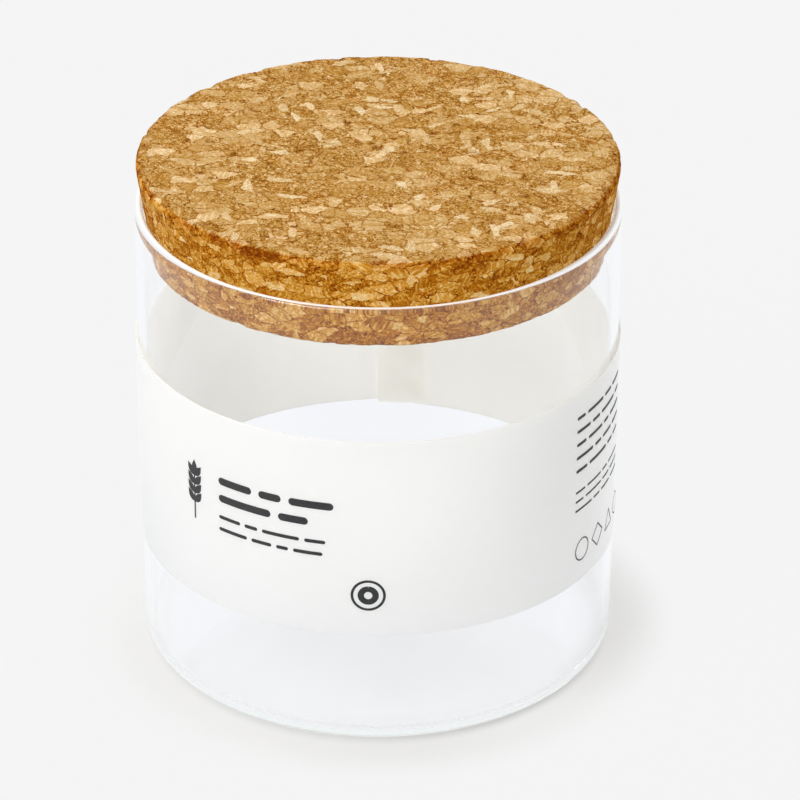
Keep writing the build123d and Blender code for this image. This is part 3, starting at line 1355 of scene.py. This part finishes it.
@dataclass
class CorkLid:
    """The tapered disc of pressed cork, with granules in relief, pits, and chips out of its edges.

    The widths, radii and slopes of grooves, pits and chips are shares of their spacing. Only cells whose own
    random number is high enough hold a pit or a chip. The edge weights are for the top and the bottom edge.
    The ranges of normals say how far sideways the outline's normal points where the cut side and the torn
    band fade in.
    """

    bottom: float
    top: float
    top_radius: float
    taper: float = 8.4
    top_edge: float = 1.3 * MM
    bottom_edge: float = 0.8 * MM
    granule: float = 3.2 * MM
    granule_relief: float = 0.07 * MM
    pressed: float = 1.6
    groove: float = 0.09 * MM
    groove_width: float = 0.18
    pit_spacing: float = 2.6 * MM
    pit_depth: float = 0.40 * MM
    pit_radius: float = 0.46
    pit_slope: float = 0.3
    pit_least: float = 0.91
    chip_spacing: float = 3.4 * MM
    chip_depth: float = 0.50 * MM
    chip_radius: float = 0.75
    chip_slope: float = 0.5
    chip_least: tuple = (0.35, 0.90)
    chip_reach: float = 1.5 * MM
    chip_rough: float = 1.1 * MM
    edge_weights: tuple = (1.0, 0.5)
    cut_normals: tuple = (0.25, 0.85)
    torn_normals: tuple = (0.4, 0.8)
    torn_depth: float = 2.4 * MM
    torn_length: float = 4.0 * MM
    torn_patches: tuple = (0.35, 0.65)
    segments: int = 512
    finish: Finish = field(default_factory=CorkFinish)

    @classmethod
    def from_frame(cls) -> "CorkLid":
        """Reads the lid's heights and its widest radius from the solid."""
        low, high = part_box("cork_lid")
        return cls(bottom=low.z, top=high.z, top_radius=(high.x - low.x) / 2)

    def side_radius(self, height: float) -> float:
        """Radius of the tapered side, whose widest point is where the top edge's rounding starts.

        Args:
            height: height above the floor.

        Returns:
            The radius there.
        """
        lean = radians(self.taper)
        widest = self.top - self.top_edge * (1 - sin(lean))
        return self.top_radius + (height - widest) * tan(lean)

    def outline(self) -> np.ndarray:
        """The disc's outline, walked from the axis below, up the side and back to the axis above.

        Returns:
            (radius, height) of each point.
        """
        slope = radians(self.taper)
        low, high = self.bottom_edge, self.top_edge
        low_centre = (self.side_radius(self.bottom + low) - low / cos(slope), self.bottom + low)
        high_centre = (self.top_radius - high * cos(slope), self.top - high)
        low_end = (low_centre[0] + low * cos(slope), low_centre[1] - low * sin(slope))
        high_start = (self.top_radius, high_centre[1] - high * sin(slope))
        under = np.linspace(0, low_centre[0], 34, endpoint=False)[1:]
        over = np.linspace(high_centre[0], 0, 66, endpoint=False)
        return np.concatenate(
            [
                np.stack([under, np.full(len(under), self.bottom)], axis=1),
                rounded(low_centre, low, -90, -self.taper, count=5),
                straight(low_end, high_start, count=34),
                rounded(high_centre, high, -self.taper, 90, count=9),
                np.stack([over, np.full(len(over), self.top)], axis=1),
            ]
        )

    def hollows(self, places: np.ndarray, outline: np.ndarray) -> np.ndarray:
        """How far each point lies under the plain disc, in metres.

        Adds up each granule's own level, a groove where the nearest and the second nearest granule are
        about as far, round pits in a few cells, and deeper chips close to the top and bottom edges. All of
        it fades out within a millimetre of the axis.

        Args:
            places: points, rings by segments by 3.
            outline: (radius, height) of each ring.

        Returns:
            Depth of each point, rings by segments.
        """
        nearest, second, pick = granules(places * (1, 1, self.pressed), self.granule, salt=11)
        depth = self.granule_relief * pick
        depth += self.groove * (1 - smooth_step(second - nearest, 0.0, self.groove_width))
        nearest, _, pick = granules(places, self.pit_spacing, salt=12)
        pit = smooth_step(self.pit_radius - nearest, 0.0, self.pit_slope) * (pick > self.pit_least)
        depth += self.pit_depth * pit
        nearest, _, pick = granules(places, self.chip_spacing, salt=13)
        corners = np.array([[self.top_radius, self.top], [self.side_radius(self.bottom), self.bottom]])
        away = np.linalg.norm(outline[:, None, :] - corners, axis=2) / self.chip_reach
        near_edge = np.exp(-(away**2)) @ np.array(self.edge_weights)
        ragged = 0.5 + drift(places, self.chip_rough, salt=14)
        chip = smooth_step(self.chip_radius - nearest, 0.0, self.chip_slope)
        chip *= smooth_step(pick, *self.chip_least) * ragged
        depth += self.chip_depth * near_edge[:, None] * chip
        return depth * smooth_step(outline[:, 0], 0.0, MM)[:, None]

    def build(self) -> bpy.types.Object:
        """Turns the outline and sinks each point along the outline's inward normal.

        The attribute cut_side is 1 on the side, hollow, which the finish darkens as painted shade, grows with
        the depth up to that of a pit, and torn is 1 in patches of a band that fades with exp(-x * x) below
        the top edge.

        Returns:
            The lid.
        """
        outline = self.outline()
        normals = outward_normals(outline)
        places = turned(outline[:, 0], outline[:, 1], self.segments)
        depth = self.hollows(places, outline)
        rings = turned(
            outline[:, :1] - normals[:, :1] * depth,
            outline[:, 1:] - normals[:, 1:] * depth,
            self.segments,
        )
        piece = turned_piece("lid_cork", rings, (self.bottom, self.top))
        poles = np.zeros(2)
        sides = np.repeat(smooth_step(normals[:, 0], *self.cut_normals), self.segments)
        store(piece, "cut_side", np.concatenate([sides, poles]))
        # hollow: where the cork finish paints shade, growing with the depth
        hollow = np.clip(depth / self.pit_depth, 0, 1) ** 1.5
        store(piece, "hollow", np.concatenate([hollow.ravel(), poles]))
        below = (self.top - outline[:, 1]) / self.torn_depth
        band = np.exp(-(below**2)) * smooth_step(normals[:, 0], *self.torn_normals)
        patches = drift(places * (1, 1, 0.5), self.torn_length, salt=15)
        torn = band[:, None] * smooth_step(patches, *self.torn_patches)
        store(piece, "torn", np.concatenate([torn.ravel(), poles]))
        piece.data.materials.append(self.finish.material())
        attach(piece, Body.LID.value)
        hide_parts("cork_lid")
        return piece


@dataclass
class Ribbon:
    """A printed stroke on the flat strip: a path with a width at each of its points, in metres."""

    path: np.ndarray
    widths: np.ndarray


@dataclass
class PaperSleeve:
    """The strip of stiff paper wound once round the glass, with its outer end lapped over its inner end.

    A place on the strip is given by the angle wound clockwise from the inner end, seen from above, and by the
    height above the strip's lower edge. The strip climbs a little on its way round, as a hand-wound one does.
    The lower edge is level with the solid's at a share of the way. The seam is an azimuth, and the ramp, the
    end and the lap's edge are angles wound.
    """

    bottom: float
    height: float
    inner_radius: float = 50.15 * MM
    paper: float = 0.31 * MM
    lap_step: float = 0.45 * MM
    seam: float = 90.0
    ramp_start: float = 355.0
    ramp_end: float = 359.55
    end: float = 373.6
    lap_edge: float = 0.4
    climb: float = 0.7 * MM
    level_share: float = 0.25
    slack: float = 0.05 * MM
    columns: int = 750
    rows: int = 24
    ink: float = 0.012 * MM
    finish: Finish = field(default_factory=PaperFinish)
    ink_finish: Finish = field(default_factory=InkFinish)

    @classmethod
    def from_frame(cls) -> "PaperSleeve":
        """Reads the strip's height and its lower edge from the solid."""
        low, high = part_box("paper_sleeve")
        return cls(bottom=low.z, height=high.z - low.z)

    def surface(self, wound: np.ndarray, rise: np.ndarray, lift: float) -> np.ndarray:
        """Points of the wound strip.

        The radius is the inner one, plus the lap's step past the ramp, less a little slack that varies
        slowly with the product of two sines, plus lift. The azimuth falls from the seam's as the strip is
        wound, and the height is the lower edge's, which climbs evenly, plus rise.

        Args:
            wound: angle wound from the inner end, in degrees.
            rise: height above the strip's lower edge, in metres.
            lift: distance outwards from the strip's inner face, in metres.

        Returns:
            Points of the same shape with a last axis of 3.
        """
        azimuth = np.radians(self.seam - wound)
        waves = np.sin(3 * azimuth + 40 * rise + 1.0) * np.sin(2 * azimuth - 55 * rise)
        step = self.lap_step * smooth_step(wound, self.ramp_start, self.ramp_end)
        radius = self.inner_radius + step - self.slack * (0.5 + 0.5 * waves) + lift
        height = self.bottom + self.climb * (wound / self.end - self.level_share) + rise
        return np.stack([radius * np.cos(azimuth), radius * np.sin(azimuth), height], axis=-1)

    def build(self) -> bpy.types.Object:
        """Makes the strip as a thin closed sheet.

        The attribute inner_face is 1 on the inside, and lapped is 1 where the two ends lie over each other.

        Returns:
            The sleeve.
        """
        wound = np.linspace(0, self.end, self.columns)[:, None]
        rise = np.linspace(0, self.height, self.rows)[None, :]
        wound, rise = np.broadcast_arrays(wound, rise)
        inner = self.surface(wound, rise, 0.0)
        outer = self.surface(wound, rise, self.paper)
        piece = thick_sheets("sleeve_paper", outer[None], inner[None], sharp=40)
        store(piece, "inner_face", np.repeat([0.0, 1.0], wound.size))
        past = FULL_TURN + self.lap_edge
        under = 1 - smooth_step(wound, self.end - past, self.end - FULL_TURN)
        over = smooth_step(wound, FULL_TURN, past)
        store(piece, "lapped", np.tile((under + over).ravel(), 2))
        piece.data.materials.append(self.finish.material())
        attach(piece, Body.SLEEVE.value)
        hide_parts("paper_sleeve")
        return piece

    def printed(self, name: str, ribbons: list[Ribbon]) -> bpy.types.Object:
        """Lays strokes of ink on the outer face, a hair proud of it.

        A stroke's sides lie half its width to each side of its path, square to it. Across the strip, a place
        u metres to the right of the front centre has been wound by half a turn less u over the radius.

        Args:
            name: the object's name.
            ribbons: the strokes, each place of which is metres to the right of the front centre and metres
                above the lower edge.

        Returns:
            One object that holds all the strokes.
        """
        paths = np.stack([ribbon.path for ribbon in ribbons])
        widths = np.stack([ribbon.widths for ribbon in ribbons])
        ahead = np.gradient(paths, axis=1)
        ahead /= np.linalg.norm(ahead, axis=2, keepdims=True)
        across = np.stack([-ahead[..., 1], ahead[..., 0]], axis=-1) * widths[..., None] / 2
        sides = np.stack([paths - across, paths, paths + across], axis=2)
        outer_radius = self.inner_radius + self.paper
        wound = self.seam - FRONT - np.degrees(sides[..., 0] / outer_radius)
        outer = self.surface(wound, sides[..., 1], self.paper + self.ink)
        inner = self.surface(wound, sides[..., 1], self.paper - self.ink)
        piece = thick_sheets(name, outer, inner, sharp=30)
        piece.data.materials.append(self.ink_finish.material())
        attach(piece, Body.SLEEVE.value)
        return piece


@dataclass
class PlainPrint:
    """What the sleeve carries: an ear of grain, rows of plain bars in the place of reading matter, and marks.

    Lengths are millimetres. Places are along the strip from the front centre, and above its lower edge. Each
    row of bars has its middle's height and the bars' lengths, each of the target's rings its radius and its
    width, and each mark its centre, its radius and its number of corners. Every stroke has the same number of
    points, so that they are laid on the paper as one array.
    """

    sleeve: PaperSleeve
    points: int = 49
    ear_place: tuple = (-42.0, 18.0)
    ear_height: float = 14.0
    grain_length: float = 3.1
    grain_width: float = 1.55
    grain_pairs: int = 4
    pair_levels: tuple = (0.36, 0.92)
    pair_lean: float = 34.0
    pair_offset: float = 0.25
    top_grain_overlap: float = 0.3
    stem_width: float = 0.42
    words_left: float = -35.0
    title: float = 1.7
    title_gap: float = 1.7
    title_rows: tuple = ((29.6, (8.2, 5.0, 9.4)), (25.6, (12.6, 6.4)))
    line: float = 0.8
    line_gap: float = 1.1
    line_rows: tuple = ((21.2, (5.4, 3.0, 8.2, 4.4)), (18.4, (7.0, 4.6, 2.6, 6.2)))
    target: tuple = (-2.0, 9.5)
    target_rings: tuple = ((3.3, 0.55), (1.5, 1.3))
    small_left: float = 47.0
    small: float = 0.75
    small_gap: float = 1.0
    small_top: float = 39.0
    small_step: float = 3.1
    small_rows: tuple = (
        (3.0, 7.2, 4.0, 6.0),
        (5.2, 3.4, 8.0, 3.6),
        (3.6, 6.4, 2.8, 7.4),
        (6.6, 3.0, 5.0, 5.6),
        (4.2, 8.4, 3.2, 4.0),
    )
    smaller: float = 0.5
    smaller_gap: float = 0.9
    smaller_top: float = 21.6
    smaller_step: float = 2.2
    smaller_rows: tuple = (2, 0, 3)
    mark_line: float = 0.32
    marks: tuple = (
        ((50.0, 7.2), 2.5, 0),
        ((57.0, 7.2), 2.7, 4),
        ((64.0, 6.8), 2.8, 3),
        ((71.0, 7.2), 2.6, 6),
    )

    def path(self, points: np.ndarray, widths: np.ndarray) -> Ribbon:
        """A stroke from places and widths in millimetres."""
        return Ribbon(points * MM, np.broadcast_to(widths, (self.points,)) * MM)

    def bar(self, left: float, middle: float, length: float, height: float) -> Ribbon:
        """A bar with round ends, whose width is the chord of the end's circle: 2 * sqrt(r * r - d * d).

        Args:
            left: place of its left end.
            middle: place of its middle above the lower edge.
            length: its length.
            height: its height, and twice the radius of its ends.

        Returns:
            The stroke.
        """
        blunt = 0.04
        spread = (1 - np.cos(np.linspace(0, pi, self.points))) / 2
        along = length * spread
        radius = height / 2
        past = np.maximum(radius - np.minimum(along, length - along), 0)
        widths = 2 * np.sqrt(np.maximum(radius**2 - past**2, (blunt * radius) ** 2))
        return self.path(np.stack([left + along, np.full(self.points, middle)], axis=1), widths)

    def ring(self, centre: tuple[float, float], radius: float, width: float, corners: int = 0) -> Ribbon:
        """A closed outline round a centre: a circle, or a regular figure with that many corners.

        The distance from the centre is the radius for a circle, and radius * cos(pi / n) over the cosine of
        the angle from the nearest side's middle for a figure of n sides.

        Args:
            centre: place of its centre.
            radius: distance of the circle or of the corners from the centre.
            width: the stroke's width.
            corners: number of corners, or 0 for a circle.

        Returns:
            The stroke.
        """
        angle = np.linspace(0, 2 * pi, self.points) + pi / 2
        reach = np.full(self.points, radius)
        if corners:
            step = 2 * pi / corners
            off_side = (angle - pi / 2) % step - step / 2
            reach = radius * cos(pi / corners) / np.cos(off_side)
        points = np.array(centre) + reach[:, None] * np.stack([np.cos(angle), np.sin(angle)], axis=1)
        return self.path(points, np.array(width))

    def grain(self, foot: tuple[float, float], lean: float) -> Ribbon:
        """A pointed grain. Its width follows sin(pi * t ** 0.8), where t is the share of the way along it.

        Args:
            foot: place where it starts.
            lean: angle to the upright in degrees.

        Returns:
            The stroke.
        """
        share = np.linspace(0, 1, self.points)
        ahead = np.array([sin(radians(lean)), cos(radians(lean))])
        points = np.array(foot) + self.grain_length * share[:, None] * ahead
        return self.path(points, self.grain_width * np.maximum(np.sin(pi * share**0.8), 0.05))

    def ear(self) -> list[Ribbon]:
        """A stem with pairs of grains and one on top.

        Returns:
            The strokes.
        """
        left, low = self.ear_place
        share = np.linspace(0, 1, self.points)[:, None]
        tip = self.ear_height - self.grain_length
        stem = self.path(np.array([left, low]) + share * np.array([0.0, tip]), np.array(self.stem_width))
        strokes = [stem, self.grain((left, low + tip - self.top_grain_overlap), 0.0)]
        for level in np.linspace(*self.pair_levels, self.grain_pairs) * tip:
            for side in (-1, 1):
                foot = (left + side * self.pair_offset, low + level)
                strokes.append(self.grain(foot, side * self.pair_lean))
        return strokes

    def words(self, left: float, middle: float, height: float, lengths: tuple, gap: float) -> list[Ribbon]:
        """A row of bars with equal gaps.

        Args:
            left: place of the first bar's left end.
            middle: place of the row's middle above the lower edge.
            height: the bars' height.
            lengths: one length for each bar.
            gap: distance between two bars.

        Returns:
            The strokes.
        """
        strokes = []
        for length in lengths:
            strokes.append(self.bar(left, middle, length, height))
            left += length + gap
        return strokes

    def front(self) -> list[Ribbon]:
        """The ear, two bold rows, two finer ones and a ring mark.

        Returns:
            The strokes.
        """
        strokes = self.ear()
        for middle, lengths in self.title_rows:
            strokes += self.words(self.words_left, middle, self.title, lengths, self.title_gap)
        for middle, lengths in self.line_rows:
            strokes += self.words(self.words_left, middle, self.line, lengths, self.line_gap)
        return strokes + [self.ring(self.target, radius, width) for radius, width in self.target_rings]

    def small_print(self) -> list[Ribbon]:
        """Rows of small bars, and under them a few rows of smaller ones that repeat some of their lengths.

        Returns:
            The strokes.
        """
        strokes = []
        for row, lengths in enumerate(self.small_rows):
            middle = self.small_top - self.small_step * row
            strokes += self.words(self.small_left, middle, self.small, lengths, self.small_gap)
        for row, same in enumerate(self.smaller_rows):
            middle = self.smaller_top - self.smaller_step * row
            lengths = self.small_rows[same]
            strokes += self.words(self.small_left, middle, self.smaller, lengths, self.smaller_gap)
        return strokes

    def build(self) -> list[bpy.types.Object]:
        """Makes the front print, the small print and the row of marks.

        Returns:
            The three printed pieces.
        """
        marks = [self.ring(place, radius, self.mark_line, corners) for place, radius, corners in self.marks]
        prints = {"front_print": self.front(), "small_print": self.small_print(), "plain_marks": marks}
        return [self.sleeve.printed(name, strokes) for name, strokes in prints.items()]


@dataclass
class SleeveGlue:
    """The glue between the sleeve's lapped ends, which keeps its solid's shape."""

    finish: Finish = field(default_factory=GlueFinish)

    def dress(self, node: bpy.types.Object) -> None:
        """Gives the solid its finish.

        Args:
            node: the solid's object.
        """
        if not node.material_slots:
            node.data.materials.append(None)
        for slot in node.material_slots:
            slot.material = self.finish.material()


# Studio


@dataclass(frozen=True)
class FloorFinish(Finish):
    """A pale light table. Most of what it shows is its own even glow, so its shadows are soft.

    Close to the jar less of it glows, which keeps the jar's shadow there, and further out more of it does.
    Right at the foot, the glow is dimmed as well, and more so at the right than at the left: a painted
    contact shadow, darker on the side away from the lamps. What glass mirrors is cooler, and dimmer in front
    of the jar: a painted dim reflection, as of a dark studio behind the camera. Ranges are metres from the
    jar's axis, or parts of the way from -1 to 1 across or along the floor.
    """

    name: str = "pale_floor"
    colour: tuple = (0.72, 0.72, 0.72, 1.0)
    seen: tuple = (0.913, 0.913, 0.913, 1.0)
    through_glass: tuple = (0.930, 0.945, 0.985, 1.0)
    mirrored: tuple = (0.93, 0.945, 0.96, 1.0)
    painted_dim_reflection: tuple = (0.50, 0.51, 0.52, 1.0)
    ahead_along: tuple = (-0.97, -0.72)
    ahead_away: tuple = (60 * MM, 90 * MM)
    within: tuple = (43 * MM, 50 * MM)
    beyond: tuple = (51 * MM, 66 * MM)
    within_glow: float = 0.84
    near_glow: float = 0.50
    far_glow: float = 0.985
    contact_shadow_reach: tuple = (46.4 * MM, 50.2 * MM)
    contact_shadow_across: tuple = (-0.2, 0.7)
    contact_shadow_left: float = 0.70
    contact_shadow_right: float = 0.42
    lighting_share: float = 0.6

    def wire(self, wiring: Wiring) -> bpy.types.NodeSocket:
        """A matt surface under a share of its own glow.

        Args:
            wiring: the material's nodes.

        Returns:
            The shader for the surface.
        """
        place = wiring.place("ShaderNodeTexCoord").outputs["Object"]
        away = wiring.place("ShaderNodeVectorMath", {0: place}, operation="LENGTH").outputs["Value"]
        towards = wiring.place("ShaderNodeSeparateXYZ", {0: wiring.vector("NORMALIZE", place)}).outputs
        share = wiring.either(
            wiring.fade(away, *self.within, self.within_glow, self.near_glow),
            wiring.fade(away, *self.beyond, self.near_glow, self.far_glow),
        )
        # Painted contact shadow: the glow is dimmed round the foot, more at the right
        contact_shadow_depth = wiring.fade(towards["X"], *self.contact_shadow_across, self.contact_shadow_left, self.contact_shadow_right)
        painted_contact_shadow = wiring.fade(away, *self.contact_shadow_reach, contact_shadow_depth, 1.0)
        # Painted dim reflection: in front of the jar, glass mirrors the floor darker
        ahead = wiring.times(
            wiring.fade(towards["Y"], *self.ahead_along, 1.0, 0.0), wiring.fade(away, *self.ahead_away)
        )
        seen = wiring.blend(painted_contact_shadow, BLACK, self.seen)
        tint = wiring.blend(wiring.ray(Ray.TRANSMISSION), seen, self.through_glass)
        mirrored = wiring.blend(ahead, self.mirrored, self.painted_dim_reflection)
        tint = wiring.blend(wiring.mirrored_ray(), tint, mirrored)
        matt = wiring.shader("BsdfDiffuse", {"Color": self.colour})
        strength = wiring.mixed(wiring.ray(Ray.DIFFUSE), 1.0, self.lighting_share)
        glow = wiring.shader("Emission", {"Color": tint, "Strength": strength})
        return wiring.shared_out(share, matt, glow)


@dataclass(frozen=True)
class Softbox:
    """A square lamp that faces the jar. Its share is the light that it gives a white surface turned to it.

    Only a mirrored lamp shows as a highlight. The others stand behind cloth.
    """

    name: str
    azimuth: float
    elevation: float
    share: float
    width: float
    mirrored: bool = False
    distance: float = 1.5

    def hang(self, target: Vector) -> None:
        """Places the lamp. A square lamp of power P lights a facing surface d away by P / (pi * pi * d * d).

        Args:
            target: the point that the lamp faces.
        """
        lamp = bpy.data.lights.new(self.name, "AREA")
        lamp.shape = "SQUARE"
        lamp.size = self.width
        lamp.energy = self.share * (pi * self.distance) ** 2
        holder = bpy.data.objects.new(self.name, lamp)
        azimuth, elevation = radians(self.azimuth), radians(self.elevation)
        towards = Vector((cos(azimuth) * cos(elevation), sin(azimuth) * cos(elevation), sin(elevation)))
        holder.location = target + towards * self.distance
        holder.rotation_euler = towards.to_track_quat("Z", "Y").to_euler()
        holder.visible_camera = False
        holder.visible_transmission = False
        holder.visible_glossy = self.mirrored
        bpy.context.scene.collection.objects.link(holder)


@dataclass
class Studio:
    """Pale floor, soft lamps and an even sky."""

    floor_half: float = 4.0
    floor_drop: float = 0.04 * MM
    sky: float = 0.29
    sky_seen: tuple = (0.913, 0.913, 0.913, 1.0)
    sky_mirrored: tuple = (0.93, 0.955, 0.98, 1.0)
    lamps: tuple = (
        Softbox("front_left_softbox", azimuth=-132, elevation=42, share=0.66, width=0.72, mirrored=True),
        Softbox("rear_left_softbox", azimuth=150, elevation=35, share=0.43, width=0.9),
        Softbox("front_softbox", azimuth=-88, elevation=14, share=0.30, width=0.6),
        Softbox("right_rear_softbox", azimuth=56, elevation=15, share=0.67, width=0.8),
        Softbox("right_softbox", azimuth=-20, elevation=12, share=0.20, width=0.7),
    )
    finish: Finish = field(default_factory=FloorFinish)

    def lay_floor(self) -> None:
        """A square floor just under the jar's foot."""
        half = self.floor_half
        low = -self.floor_drop
        points = np.array([[-half, -half, low], [half, -half, low], [half, half, low], [-half, half, low]])
        floor = new_piece("floor", points, np.array([[0, 1, 2, 3]]))
        floor.data.materials.append(self.finish.material())
        self.finish.material().cycles.emission_sampling = "NONE"
        floor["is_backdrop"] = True

    def hang_sky(self) -> None:
        """An even sky: its own light for surfaces, and near-white for the camera and for what glass shows."""
        world = bpy.data.worlds.new("studio")
        world.use_nodes = True
        world.node_tree.nodes.clear()
        wiring = Wiring(world.node_tree)
        light = wiring.shader("Background", {"Color": WHITE, "Strength": self.sky})
        seen = wiring.blend(wiring.ray(Ray.GLOSSY), self.sky_seen, self.sky_mirrored)
        plain = wiring.shader("Background", {"Color": seen, "Strength": 1.0})
        share = wiring.ray(Ray.CAMERA, Ray.GLOSSY, Ray.TRANSMISSION)
        wiring.place("ShaderNodeOutputWorld", {"Surface": wiring.shared_out(share, light, plain)})
        bpy.context.scene.world = world

    def build(self, target: Vector) -> None:
        """Sets up the floor, the sky and the lamps.

        Args:
            target: the point that the lamps face.
        """
        self.lay_floor()
        self.hang_sky()
        for lamp in self.lamps:
            lamp.hang(target)
        bpy.context.scene.view_settings.view_transform = "Standard"


@dataclass(frozen=True)
class PhotoCamera:
    """The camera that took the photograph, as found from the outlines of rim, lid, sleeve and foot."""

    place: tuple = (0.0, -0.78805, 0.48425)
    lens: float = 192.2
    sensor: float = 36.0
    pitch: float = 28.648
    pan: float = 0.333
    roll: float = 0.194

    def build(self) -> None:
        """Makes the scene's own camera, which looks down by pitch, right by pan, and rolls anticlockwise."""
        data = bpy.data.cameras.new("photo_camera")
        data.sensor_width = self.sensor
        data.lens = self.lens
        data.clip_start = 0.01
        data.clip_end = 50.0
        camera = bpy.data.objects.new("photo_camera", data)
        turn = Matrix.Rotation(radians(-self.pan), 4, "Z")
        tilt = Matrix.Rotation(radians(90 - self.pitch), 4, "X")
        roll = Matrix.Rotation(radians(self.roll), 4, "Z")
        camera.matrix_world = Matrix.Translation(self.place) @ turn @ tilt @ roll
        bpy.context.scene.collection.objects.link(camera)
        bpy.context.scene.camera = camera


def corners(bounds: tuple[Vector, Vector]) -> list[list[float]]:
    """A box's two corners as plain lists."""
    return [[float(value) for value in corner] for corner in bounds]


def main() -> None:
    """Loads the frame, builds each sub-assembly and the studio, and reports each piece."""
    logging.basicConfig(level=logging.INFO, format="%(name)s: %(message)s")
    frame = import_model()
    solid_box = corners(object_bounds())
    glass = JarGlass.from_frame().build()
    cork = CorkLid.from_frame().build()
    sleeve = PaperSleeve.from_frame()
    paper = sleeve.build()
    prints = PlainPrint(sleeve).build()
    SleeveGlue().dress(frame["nodes"]["sleeve_glue"])
    for piece in (glass, cork, paper, *prints):
        log.info("%s has %d faces", piece.name, len(piece.data.polygons))
    low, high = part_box("glass_jar")
    Studio().build((low + high) / 2)
    PhotoCamera().build()
    {"cad": solid_box, "visual": corners(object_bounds())}


if __name__ == "__main__":
    main()
